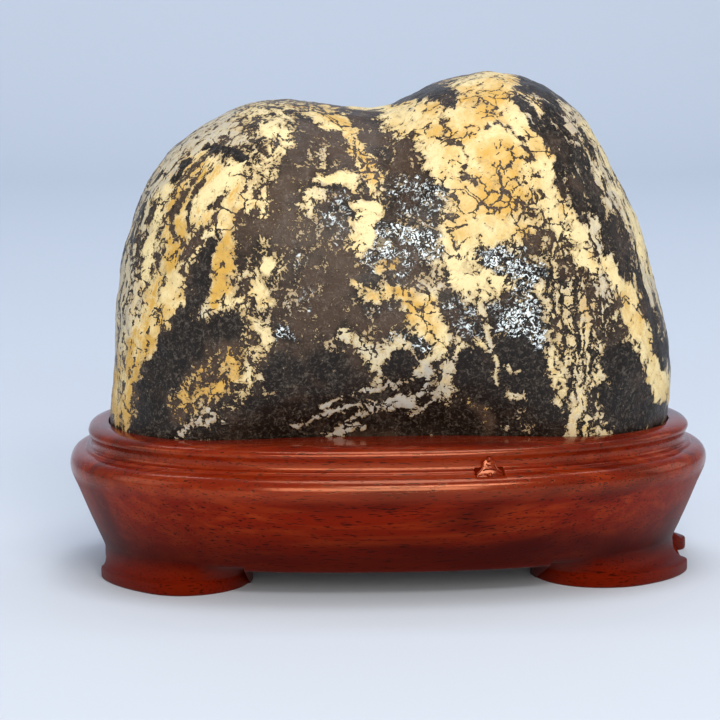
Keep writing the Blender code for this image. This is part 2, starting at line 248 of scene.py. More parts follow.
LEFT_MARKS = (
    Mark("shoulder", Mineral.TAUPE, 52, ((140, 225), (152, 196), (178, 160), (215, 128), (258, 104))),
    Mark("left edge", Mineral.STREAKED_GREY, 34, ((118, 370), (120, 300), (132, 248), (150, 205), (172, 180))),
    Mark("left face", Mineral.STREAKED_CREAM, 46, ((226, 186), (196, 232), (166, 290), (148, 345), (128, 400))),
    Mark("face top", Mineral.STREAKED_CREAM, 34, ((204, 172), (176, 205), (158, 250))),
    Mark("ochre streak", Mineral.OCHRE, 17, ((184, 196), (180, 225), (172, 268)), 0.8),
    Mark("pale streak", Mineral.CREAM, 9, ((166, 188), (155, 225), (146, 285)), 0.8),
    Mark("sandy tongue", Mineral.YELLOW, 24, ((180, 282), (168, 306), (156, 344)), 0.95),
    Mark("yellow tail", Mineral.OCHRE, 12, ((152, 338), (146, 362), (140, 388))),
    Mark("bright blob", Mineral.CREAM, 24, ((238, 166), (224, 184), (212, 202))),
    Mark("bright tail", Mineral.CREAM, 15, ((228, 208), (206, 238), (194, 268))),
    Mark("foot of the edge", Mineral.OCHRE, 11, ((112, 376), (112, 402), (120, 424)), 0.8),
    Mark("dark wedge", Mineral.DARK, 15, ((212, 240), (204, 270), (192, 306), (180, 330))),
    Mark("wedge foot", Mineral.DARK, 36, ((186, 338), (168, 364), (160, 392), (150, 420))),
    Mark("wedge edge", Mineral.SPECKLED_OCHRE, 14, ((134, 400), (128, 420)), 0.7),
    Mark("ochre patch", Mineral.OCHRE, 25, ((224, 248), (226, 268), (222, 290))),
    Mark("ochre foot", Mineral.CREAM, 14, ((228, 300), (244, 304)), 0.9),
    Mark("pale tongue", Mineral.PALE, 7, ((208, 302), (204, 328))),
    Mark("dark pool", Mineral.DARK, 30, ((212, 332), (234, 328), (226, 344))),
    Mark("ochre swirl", Mineral.SPECKLED_OCHRE, 26, ((232, 356), (230, 378), (208, 388), (206, 370))),
    Mark("swirl rim", Mineral.OCHRE, 6, ((222, 352), (236, 364), (232, 380), (214, 390)), 0.8),
    Mark("low ochre", Mineral.SPECKLED_OCHRE, 20, ((190, 386), (176, 398), (186, 412))),
    Mark("dark foot", Mineral.DARK, 20, ((146, 428), (180, 432), (240, 432))),
    Mark("pale foot", Mineral.SPECKLED_CREAM, 17, ((256, 370), (242, 386), (240, 402))),
    Mark("pale foot side", Mineral.PALE, 8, ((262, 370), (266, 392)), 0.7),
    Mark("foot wisp", Mineral.WISP, 7, ((180, 434), (192, 426), (216, 421))),
    Mark("foot wisp top", Mineral.WISP, 5, ((210, 410), (224, 424))),
    Mark("shoulder lines", Mineral.DARK, 7, ((206, 152), (222, 148), (242, 158)), 0.9),
    Mark("shoulder fleck", Mineral.DARK, 8, ((190, 162), (174, 178)), 0.9),
    Mark("edge knob", Mineral.BAND, 7, ((123, 242), (123, 256))),
    Mark("first streak", Mineral.CRACK, 4, ((193, 180), (173, 217), (172, 240))),
    Mark("second streak", Mineral.CRACK, 4, ((203, 183), (187, 213), (190, 232))),
    Mark("short streak", Mineral.CRACK, 5, ((227, 197), (215, 210))),
    Mark("third streak", Mineral.CRACK, 4, ((215, 217), (198, 235), (193, 245))),
    Mark("fourth streak", Mineral.CRACK, 4, ((193, 240), (187, 267), (185, 280))),
    Mark("edge streak", Mineral.CRACK, 4, ((155, 207), (147, 223))),
    Mark("outer streak", Mineral.CRACK, 4, ((140, 228), (136, 250), (139, 267))),
    Mark("streak knot", Mineral.CRACK, 6, ((165, 250), (157, 257), (158, 265))),
)

MIDDLE_MARKS = (
    Mark("crown", Mineral.SPECKLED_CREAM, 34, ((254, 118), (290, 118), (282, 150), (262, 176))),
    Mark("crown blob", Mineral.CREAM, 13, ((268, 130), (284, 138), (288, 146))),
    Mark("crown fleck", Mineral.CREAM, 8, ((270, 152), (276, 160))),
    Mark("brown field", Mineral.BROWN, 40, ((312, 138), (352, 144), (300, 168), (286, 184))),
    Mark("brown field foot", Mineral.BROWN, 36, ((276, 222), (262, 228), (300, 222))),
    Mark("field speckle", Mineral.SPECKLED_CREAM, 14, ((252, 176), (270, 174)), 0.9),
    Mark("left block", Mineral.CREAM, 14, ((244, 203), (266, 198), (266, 212))),
    Mark("brown gap", Mineral.BROWN, 14, ((240, 216), (250, 246)), 0.8),
    Mark("left speckle", Mineral.SPECKLED_CREAM, 22, ((258, 250), (274, 262), (250, 276)), 0.8),
    Mark("middle block", Mineral.CREAM, 14, ((266, 273), (279, 264))),
    Mark("lower block", Mineral.YELLOW, 17, ((256, 288), (268, 296)), 0.9),
    Mark("block tails", Mineral.SPECKLED_CREAM, 26, ((244, 322), (250, 346), (268, 336), (270, 352))),
    Mark("block tail bright", Mineral.CREAM, 11, ((264, 322), (270, 342)), 0.8),
    Mark("top strip", Mineral.YELLOW, 14, ((316, 114), (334, 120), (350, 128))),
    Mark("top speckle", Mineral.SPECKLED_CREAM, 12, ((296, 110), (318, 108), (350, 108)), 0.8),
    Mark("upper pale", Mineral.TAUPE, 10, ((322, 154), (330, 160)), 0.8),
    Mark("yellow block", Mineral.YELLOW, 20, ((324, 174), (346, 178), (350, 188))),
    Mark("yellow skirt", Mineral.SPECKLED_CREAM, 16, ((300, 196), (322, 198), (304, 214))),
    Mark("glint field", Mineral.DIM_GLINT, 34, ((338, 204), (342, 232), (330, 214))),
    Mark("speckled middle", Mineral.SPECKLED_DARK, 52, ((300, 246), (312, 290), (294, 322))),
    Mark("middle glints", Mineral.DIM_GLINT, 13, ((302, 246), (300, 262)), 0.9),
    Mark("low glints", Mineral.DIM_GLINT, 12, ((310, 292), (306, 308)), 0.9),
    Mark("left glints", Mineral.GLINT, 12, ((282, 332), (292, 338)), 0.9),
    Mark("rust field", Mineral.BROWN, 26, ((336, 256), (338, 288), (334, 322))),
    Mark("rust bar", Mineral.BROWN, 20, ((350, 316), (378, 320), (404, 324))),
    Mark("top shade", Mineral.BROWN, 32, ((374, 124), (394, 140), (410, 152), (402, 176))),
    Mark("top edge", Mineral.YELLOW, 8, ((352, 106), (392, 103))),
    Mark("pale seam", Mineral.STREAKED_CREAM, 15, ((352, 136), (362, 162), (378, 184), (384, 204))),
    Mark("pale field", Mineral.CREAM, 30, ((366, 214), (372, 240), (358, 246))),
    Mark("field glints", Mineral.GLINT, 20, ((384, 232), (372, 262), (394, 258)), 0.85),
    Mark("upper glints", Mineral.DIM_GLINT, 42, ((404, 196), (444, 206), (456, 218), (434, 240), (414, 268))),
    Mark("hump glints", Mineral.GLINT, 16, ((428, 186), (442, 192), (452, 204)), 0.9),
    Mark("band of glints", Mineral.GLINT, 17, ((386, 230), (416, 240), (456, 244)), 0.9),
    Mark("lower glints", Mineral.GLINT, 12, ((408, 262), (412, 272)), 0.7),
    Mark("rust eye", Mineral.BROWN, 14, ((446, 226), (466, 226)), 0.9),
    Mark("ochre eye", Mineral.OCHRE, 12, ((378, 265), (394, 262)), 0.8),
    Mark("ochre bar", Mineral.OCHRE, 15, ((356, 286), (372, 296), (398, 290), (412, 302), (410, 318)), 0.9),
    Mark("dusk", Mineral.TAUPE, 22, ((424, 276), (446, 288)), 0.75),
    Mark("pale column", Mineral.YELLOW, 24, ((430, 306), (426, 326), (436, 346)), 0.95),
    Mark("column foot", Mineral.PALE, 12, ((434, 350), (422, 368), (414, 380)), 0.9),
    Mark("column glints", Mineral.GLINT, 14, ((398, 336), (424, 344)), 0.9),
    Mark("bar glints", Mineral.DIM_GLINT, 10, ((366, 308), (392, 304)), 0.9),
    Mark("white drip", Mineral.PALE, 14, ((344, 336), (356, 342))),
    Mark("white drips", Mineral.PALE, 18, ((366, 348), (372, 366), (384, 352), (398, 346))),
    Mark("drip foot", Mineral.TAUPE, 12, ((364, 380), (382, 384)), 0.8),
    Mark("black field", Mineral.DARK, 44, ((284, 378), (330, 372), (344, 392), (300, 414), (262, 424))),
    Mark("black floor", Mineral.DARK, 34, ((340, 414), (400, 420), (460, 424), (540, 428))),
    Mark("black rise", Mineral.DARK, 24, ((404, 366), (388, 392), (426, 396))),
    Mark("long wisp", Mineral.WISP, 6, ((320, 406), (350, 397), (367, 390), (398, 385), (424, 376))),
    Mark("thin wisp", Mineral.WISP, 5, ((293, 425), (330, 412), (352, 408), (383, 403), (410, 393))),
    Mark("low wisp", Mineral.WISP, 5, ((325, 433), (362, 427))),
    Mark("broad wisp", Mineral.WISP, 7, ((342, 430), (356, 420), (376, 409), (404, 402))),
    Mark("curling wisp", Mineral.WISP, 8, ((388, 407), (412, 401), (426, 386), (430, 370))),
    Mark("small wisp", Mineral.WISP, 6, ((414, 412), (434, 402), (440, 386))),
    Mark("floor wisp", Mineral.WISP, 7, ((334, 430), (350, 423), (358, 429))),
)

HUMP_MARKS = (
    Mark("hump", Mineral.YELLOW, 84, ((470, 116), (500, 116), (506, 160), (494, 200), (486, 224))),
    Mark("hump left", Mineral.YELLOW, 44, ((400, 112), (440, 134), (448, 166))),
    Mark("hump right", Mineral.YELLOW, 46, ((500, 90), (534, 126), (552, 172), (560, 214))),
    Mark("hump ochre", Mineral.OCHRE, 40, ((478, 104), (492, 150), (506, 196), (514, 226)), 0.45),
    Mark("hump foot", Mineral.CREAM, 42, ((462, 262), (478, 290), (506, 268), (530, 286))),
    Mark("ochre dot", Mineral.OCHRE, 6, ((503, 97), (506, 94))),
    Mark("crest shade", Mineral.BAND, 17, ((404, 97), (426, 92), (444, 92), (447, 104))),
    Mark("long crack", Mineral.CRACK, 3, ((440, 118), (450, 140), (463, 147), (467, 160), (465, 168))),
    Mark("brow crack", Mineral.CRACK, 3, ((485, 127), (495, 122), (507, 127), (515, 135), (523, 140), (527, 160))),
    Mark("brow knot", Mineral.CRACK, 8, ((465, 172), (474, 180), (480, 183))),
    Mark("cheek crack", Mineral.CRACK, 3, ((515, 180), (523, 187), (543, 195), (557, 200))),
    Mark("jaw crack", Mineral.CRACK, 3, ((473, 213), (485, 223), (495, 232))),
    Mark("jaw knot", Mineral.CRACK, 4, ((513, 225), (527, 217), (540, 215), (548, 210))),
    Mark("cheek speckle", Mineral.SPECKLED_CREAM, 30, ((526, 218), (544, 232), (552, 256)), 0.7),
    Mark("cheek knot", Mineral.BROWN, 8, ((552, 232), (548, 244)), 0.8),
    Mark("bright sparkle", Mineral.GLINT, 24, ((488, 250), (512, 262), (536, 276), (526, 288))),
    Mark("dusky hollow", Mineral.DIM_GLINT, 34, ((456, 304), (482, 318), (504, 306), (464, 330))),
    Mark("low sparkle", Mineral.GLINT, 28, ((508, 318), (540, 314), (544, 334), (520, 338)), 0.9),
    Mark("hollow shade", Mineral.DARK, 34, ((468, 362), (476, 384), (470, 410))),
    Mark("black cheek", Mineral.DARK, 44, ((508, 364), (532, 370), (528, 400), (500, 410))),
    Mark("grey wisps", Mineral.STREAKED_GREY, 17, ((456, 346), (450, 366), (448, 388)), 0.9),
    Mark("white drip", Mineral.PALE, 7, ((474, 296), (486, 322), (491, 346), (497, 384))),
    Mark("yellow tooth", Mineral.YELLOW, 11, ((474, 344), (480, 344))),
    Mark("floor ochre", Mineral.SPECKLED_OCHRE, 12, ((466, 400), (480, 408), (490, 424)), 0.9),
    Mark("white fleck", Mineral.PALE, 8, ((510, 367), (518, 368))),
    Mark("white dot", Mineral.PALE, 8, ((514, 396), (522, 394))),
    Mark("floor flecks", Mineral.WISP, 11, ((506, 424), (520, 414), (528, 432)), 0.8),
    Mark("mottled flank", Mineral.MOTTLED_GREY, 60, ((572, 282), (580, 340), (584, 400), (590, 440))),
    Mark("flank speckle", Mineral.SPECKLED_DARK, 16, ((560, 264), (584, 276), (594, 292)), 0.8),
    Mark("cream root", Mineral.SPECKLED_CREAM, 13, ((556, 352), (558, 394)), 0.9),
    Mark("flank dusk", Mineral.DARK, 12, ((550, 400), (556, 424)), 0.7),
    Mark("flank cream", Mineral.CREAM, 22, ((552, 216), (578, 244), (596, 270)), 0.9),
    Mark("outer stripes", Mineral.STREAKED_GREY, 22, ((556, 92), (590, 130), (620, 190), (642, 240), (658, 300))),
    Mark("outer cream", Mineral.CREAM, 7, ((588, 124), (618, 182), (638, 232), (650, 272)), 0.7),
    Mark("inner stripes", Mineral.STREAKED_CREAM, 20, ((516, 84), (544, 112), (564, 150), (584, 200), (606, 262))),
    Mark("main band", Mineral.BAND, 20, ((528, 78), (546, 98), (564, 135), (577, 160), (588, 184), (598, 214))),
    Mark("main band low", Mineral.BAND, 13, ((598, 214), (616, 248), (634, 285), (650, 322), (665, 352), (669, 376))),
    Mark("second band", Mineral.BAND, 9, ((518, 98), (532, 114), (548, 136), (558, 158))),
    Mark("second band low", Mineral.BAND, 15, ((558, 160), (568, 190), (584, 216)), 0.9),
    Mark("grey seam", Mineral.STREAKED_GREY, 14, ((590, 216), (604, 262), (606, 310), (612, 340))),
    Mark("yellow band", Mineral.YELLOW, 22, ((614, 268), (628, 304), (642, 342), (656, 376), (664, 404))),
    Mark("yellow band foot", Mineral.YELLOW, 28, ((648, 362), (658, 386)), 0.9),
    Mark("band crack", Mineral.BROWN, 4, ((616, 290), (624, 326), (640, 346)), 0.7),
    Mark("black triangle", Mineral.DARK, 26, ((614, 356), (624, 384), (648, 412), (622, 420), (612, 400))),
    Mark("triangle foot", Mineral.DARK, 18, ((610, 424), (640, 418), (660, 410))),
)

FIELDS = ("tone", "warmth", "grey", "brown", "speckle", "streak", "glint")
GROUND = (0.33, 0.15, 0.45, 0.60, 0.80, 0.15, 0.05)


@dataclass(frozen=True)
class Mottle:
    """A natural variation of one real size, from about -1 to 1, which may be drawn out along the wood's grain."""

    size_mm: float
    detail: float
    rough: float = 0.6
    bent: float = 0.0
    length_mm: float = 0.0

    def lay(self, tree: bpy.types.NodeTree, place: bpy.types.NodeSocket) -> bpy.types.NodeSocket:
        """Lays the variation in a material.

        Args:
            tree: The material's node tree.
            place: The coordinates that it is read at, in metres.

        Returns:
            The variation's value.
        """
        along = self.length_mm or self.size_mm
        stretch = (1.0 / (along * MM), 1.0 / (self.size_mm * MM), 1.0 / (self.size_mm * MM))
        sized = add_node(tree, "ShaderNodeMapping", {"Vector": place, "Scale": stretch})
        settings = {"Vector": sized, "Scale": 1.0, "Detail": self.detail, "Roughness": self.rough,
                    "Distortion": self.bent}
        share = add_node(tree, NOISE, settings)
        return add_node(tree, MATH, {0: share, 1: 4.0, 2: -2.0}, operation="MULTIPLY_ADD")


@dataclass(frozen=True)
class MarbledStone:
    """Marbled skarn, water-worn and waxed: dark hornblende under cream and ochre calcite, with a soft polish."""

    cream: str = "E8D6A2"
    ochre: str = "CDA24A"
    tan: str = "94784F"
    pale_grey: str = "B2AEA4"
    outline: str = "120C07"
    black: str = "130D08"
    brown: str = "453529"
    crystal: str = "908476"
    # The colour of the painted glints that stand in for the lamp's reflection on the polish.
    blue_white: str = "E6F2F6"
    crinkle_mm: float = 5.0
    crinkle_depth: float = 6.0 * MM
    streaks: Mottle = Mottle(3.0, 3.0, 0.55, 0.3)
    threads: Mottle = Mottle(1.3, 3.0, 0.55, 0.3)
    blotches: Mottle = Mottle(4.8, 8.0, 0.68, 1.2)
    flecks: Mottle = Mottle(2.3, 5.0, 0.64, 1.4)
    shades: Mottle = Mottle(11.0, 5.0, 0.62, 0.6)
    fine: Mottle = Mottle(0.95, 3.0, 0.6, 1.0)
    worms: Mottle = Mottle(1.4, 2.0, 0.5, 2.0)
    crack_nets_mm: tuple[float, ...] = (12.0, 5.5)

    def patterns(self, tree: bpy.types.NodeTree) -> dict[str, bpy.types.NodeSocket]:
        """Lays the mineral fields, the variations and the cracks.

        Args:
            tree: The material's node tree.

        Returns:
            Each pattern's value, by name.
        """
        place = add_node(tree, "ShaderNodeTexCoord", output="Object")
        flow = add_node(tree, "ShaderNodeAttribute", output="Vector", attribute_name="flow")
        crinkle = {"Vector": place, "Scale": 1.0 / (self.crinkle_mm * MM), "Detail": 5.0, "Roughness": 0.6}
        crinkle = add_node(tree, NOISE, crinkle, "Color")
        crinkled = []
        for smooth in (flow, place):
            bend = {0: crinkle, 1: (self.crinkle_depth,) * 3, 2: smooth}
            crinkled.append(add_node(tree, "ShaderNodeVectorMath", bend, operation="MULTIPLY_ADD"))
        seen = {
            name: add_node(tree, "ShaderNodeAttribute", output="Fac", attribute_name=name) for name in FIELDS
        }
        for name in ("streaks", "threads"):
            seen[name] = getattr(self, name).lay(tree, crinkled[0])
        for name in ("blotches", "flecks", "shades", "fine", "worms"):
            seen[name] = getattr(self, name).lay(tree, place)
        seen["crack"] = 0.0
        for size_mm in self.crack_nets_mm:
            net = {"Vector": crinkled[1], "Scale": 1.0 / (size_mm * MM)}
            edge = add_node(tree, "ShaderNodeTexVoronoi", net, "Distance", feature="DISTANCE_TO_EDGE")
            # A crack is about 0.4 mm wide, whatever the size of its net.
            limits = {"Value": edge, "From Min": 0.36 / size_mm, "From Max": 0.12 / size_mm}
            line = add_node(tree, RANGE, limits, interpolation_type="SMOOTHSTEP")
            gap = {"Value": seen["shades"], "From Min": -0.1, "From Max": 0.25}
            shown = add_node(tree, RANGE, gap, interpolation_type="SMOOTHSTEP")
            seen["crack"] = add_node(tree, MATH, {0: line, 1: shown, 2: seen["crack"]}, operation="MULTIPLY_ADD")
        return seen

    def values(self, tree: bpy.types.NodeTree, seen: dict[str, bpy.types.NodeSocket]) -> None:
        """Adds how light and how coarse the mineral is at each point to the patterns.

        Args:
            tree: The material's node tree.
            seen: The patterns.
        """
        lane = add_node(tree, MATH, {0: seen["streak"], 1: 0.72}, operation="MULTIPLY")
        patch = add_node(tree, MATH, {0: seen["streak"], 1: -0.34, 2: 0.5}, operation="MULTIPLY_ADD")
        dots = add_node(tree, MATH, {0: seen["streak"], 1: -0.24, 2: 0.42}, operation="MULTIPLY_ADD")
        grain = add_node(tree, MATH, {0: seen["speckle"], 1: 0.30, 2: 0.06}, operation="MULTIPLY_ADD")
        drawn = add_node(tree, MATH, {0: seen["threads"], 1: 0.7, 2: seen["streaks"]}, operation="MULTIPLY_ADD")
        seen["coarse"] = seen["tone"]
        for pattern, gain in ((drawn, lane), (seen["blotches"], patch)):
            sources = {0: pattern, 1: gain, 2: seen["coarse"]}
            seen["coarse"] = add_node(tree, MATH, sources, operation="MULTIPLY_ADD")
        seen["value"] = seen["coarse"]
        for pattern, gain in ((seen["flecks"], dots), (seen["fine"], grain), (seen["crack"], -0.5)):
            sources = {0: pattern, 1: gain, 2: seen["value"]}
            seen["value"] = add_node(tree, MATH, sources, operation="MULTIPLY_ADD")
        seen["warm"] = add_node(tree, MATH, {0: drawn, 1: lane, 2: seen["warmth"]}, operation="MULTIPLY_ADD")
        for name, pattern, gain, start in (
            ("warm", "shades", 0.55, "warm"), ("grey", "blotches", 0.35, "grey"),
            ("brown", "shades", 0.45, "brown"), ("gathered", "flecks", 0.7, "glint"),
        ):
            sources = {0: seen[pattern], 1: gain, 2: seen[start]}
            seen[name] = add_node(tree, MATH, sources, operation="MULTIPLY_ADD")

    def colour(self, tree: bpy.types.NodeTree, seen: dict[str, bpy.types.NodeSocket]) -> bpy.types.NodeSocket:
        """Lays the colours over each other: dark mineral, light mineral, then painted glints, blue-white specks over a
        darkened ground.

        Args:
            tree: The material's node tree.
            seen: The patterns, which gain "light", the light mineral's share.

        Returns:
            The stone's colour.
        """
        layers = {
            "dark": (self.black, (
                ("brown", 0.25, 1.0, 1.0, self.brown), ("fine", 0.0, 0.8, 0.26, self.crystal),
                ("flecks", 0.15, 0.8, 0.22, self.crystal), ("value", 0.30, 0.46, 0.85, self.outline),
            )),
            "pale": (self.cream, (
                ("warm", 0.15, 1.0, 1.0, self.ochre), ("grey", 0.1, 1.0, 1.0, self.pale_grey),
                ("coarse", 0.85, 0.42, 0.65, self.tan), ("coarse", 0.38, 0.20, 0.8, self.crystal),
                ("fine", 0.2, 0.9, 0.40, self.tan), ("value", 0.60, 0.51, 0.6, self.tan),
            )),
        }
        made = {}
        for kind, (ground, stains) in layers.items():
            made[kind] = linear(ground)
            for name, low, high, most, tint in stains:
                limits = {"Value": seen[name], "From Min": low, "From Max": high, "To Max": most}
                share = add_node(tree, RANGE, limits, interpolation_type="SMOOTHSTEP")
                made[kind] = add_node(tree, MIX, {0: share, 6: made[kind], 7: linear(tint)}, 2, data_type="RGBA")
        shares = {}
        for name, source, low, high in (
            ("light", "value", 0.485, 0.515), ("glint", "gathered", 0.52, 1.05), ("worms", "worms", 0.02, 0.22),
        ):
            limits = {"Value": seen[source], "From Min": low, "From Max": high}
            shares[name] = add_node(tree, RANGE, limits, interpolation_type="SMOOTHSTEP")
        seen["light"] = shares["light"]
        # Painted glints: where glint gathers, the colour darkens towards the outline colour and blue-white specks are
        # painted over it as reflections of the lamp.
        ground = add_node(tree, MATH, {0: shares["glint"], 1: 0.7}, operation="MULTIPLY")
        sparkle = add_node(tree, MATH, {0: shares["glint"], 1: shares["worms"]}, operation="MULTIPLY")
        colour = made["dark"]
        for share, over in (
            (shares["light"], made["pale"]), (ground, linear(self.outline)), (sparkle, linear(self.blue_white)),
        ):
            colour = add_node(tree, MIX, {0: share, 6: colour, 7: over}, 2, data_type="RGBA")
        return colour

    def build(self) -> bpy.types.Material:
        """Makes the stone's material.

        Returns:
            A material that reads the stone's mineral fields and its flow.
        """
        material = bpy.data.materials.new("waxed marbled skarn")
        material.use_nodes = True
        tree = material.node_tree
        shader = tree.nodes["Principled BSDF"]
        seen = self.patterns(tree)
        self.values(tree, seen)
        tree.links.new(self.colour(tree, seen), shader.inputs["Base Color"])
        rough, height = 0.38, 0.0
        for name, gain in (("light", 0.10), ("fine", 0.04), ("glint", -0.14)):
            rough = add_node(tree, MATH, {0: seen[name], 1: gain, 2: rough}, operation="MULTIPLY_ADD")
        for name, gain in (("light", 1.0), ("fine", 0.30), ("blotches", 0.35), ("flecks", 0.3), ("crack", -0.8)):
            height = add_node(tree, MATH, {0: seen[name], 1: gain, 2: height}, operation="MULTIPLY_ADD")
        bump = add_node(tree, "ShaderNodeBump", {"Strength": 0.5, "Distance": 0.22 * MM, "Height": height})
        tree.links.new(rough, shader.inputs["Roughness"])
        tree.links.new(bump, shader.inputs["Normal"])
        shader.inputs["IOR"].default_value = 1.55
        shader.inputs["Specular IOR Level"].default_value = 0.20
        shader.inputs["Coat Weight"].default_value = 0.04
        shader.inputs["Coat Roughness"].default_value = 0.18
        return material


@dataclass(frozen=True)
class LacqueredRosewood:
    """Red rosewood, stained and lacquered: dark pores along the grain, glossy above and rubbed satin below."""

    body: str = "6E1703"
    light: str = "842C0C"
    dark: str = "400702"
    # The colour of the painted shade on the lower apron.
    low: str = "2E0401"
    pore: str = "240401"
    satin: str = "42140A"
    glow: str = "FFAE88"
    grain: Mottle = Mottle(2.6, 4.0, 0.55, 0.6, 60.0)
    cloud: Mottle = Mottle(16.0, 2.0, 0.55, 0.3, 70.0)
    pores: Mottle = Mottle(0.42, 1.0, 0.55, 0.1, 3.4)

    def build(self) -> bpy.types.Material:
        """Makes the wood's material.

        Returns:
            A material whose grain runs along the stand, as in one sawn block.
        """
        material = bpy.data.materials.new("lacquered rosewood")
        material.use_nodes = True
        tree = material.node_tree
        shader = tree.nodes["Principled BSDF"]
        place = add_node(tree, "ShaderNodeTexCoord", output="Object")
        seen = {name: getattr(self, name).lay(tree, place) for name in ("grain", "cloud", "pores")}
        seen["height"] = add_node(tree, "ShaderNodeSeparateXYZ", {"Vector": place}, "Z")
        colour = linear(self.body)
        # Grain and cloud are the wood's own tones. Below 27 mm the colour darkens towards the low colour as painted
        # shade on the downturned apron, and below 9.5 mm the feet turn half way back to the body colour.
        for name, low, high, most, tint in (
            ("grain", -0.5, 1.0, 1.0, self.light), ("cloud", -0.2, 1.1, 1.0, self.dark),
            ("height", 27.0 * MM, 9.0 * MM, 0.80, self.low), ("height", 9.5 * MM, 5.0 * MM, 0.5, self.body),
            ("pores", 0.40, 0.68, 0.85, self.pore),
        ):
            limits = {"Value": seen[name], "From Min": low, "From Max": high, "To Max": most}
            share = add_node(tree, RANGE, limits, interpolation_type="SMOOTHSTEP")
            colour = add_node(tree, MIX, {0: share, 6: colour, 7: linear(tint)}, 2, data_type="RGBA")
        limits = {"Value": seen["height"], "From Min": 27.5 * MM, "From Max": 31.5 * MM}
        gloss = add_node(tree, RANGE, limits, interpolation_type="SMOOTHSTEP")
        rough = add_node(tree, MATH, {0: gloss, 1: -0.33, 2: 0.50}, operation="MULTIPLY_ADD")
        sheen = add_node(tree, MIX, {0: gloss, 6: linear(self.satin), 7: linear(self.glow)}, 2, data_type="RGBA")
        pits = {"Strength": 0.35, "Distance": 0.06 * MM, "Height": share}
        tree.links.new(colour, shader.inputs["Base Color"])
        tree.links.new(rough, shader.inputs["Roughness"])
        tree.links.new(sheen, shader.inputs["Specular Tint"])
        tree.links.new(add_node(tree, "ShaderNodeBump", pits, invert=True), shader.inputs["Normal"])
        shader.inputs["IOR"].default_value = 1.5
        shader.inputs["Specular IOR Level"].default_value = 0.85
        return material


@dataclass(frozen=True)
class MattePaper:
    """Seamless backdrop paper, unglazed, which gives an even pale ground."""

    tint: str = "CDD5E0"

    def build(self) -> bpy.types.Material:
        """Makes the backdrop's material."""
        material = bpy.data.materials.new("matte paper")
        material.use_nodes = True
        shader = material.node_tree.nodes["Principled BSDF"]
        shader.inputs["Base Color"].default_value = linear(self.tint)
        shader.inputs["Roughness"].default_value = 0.9
        return material


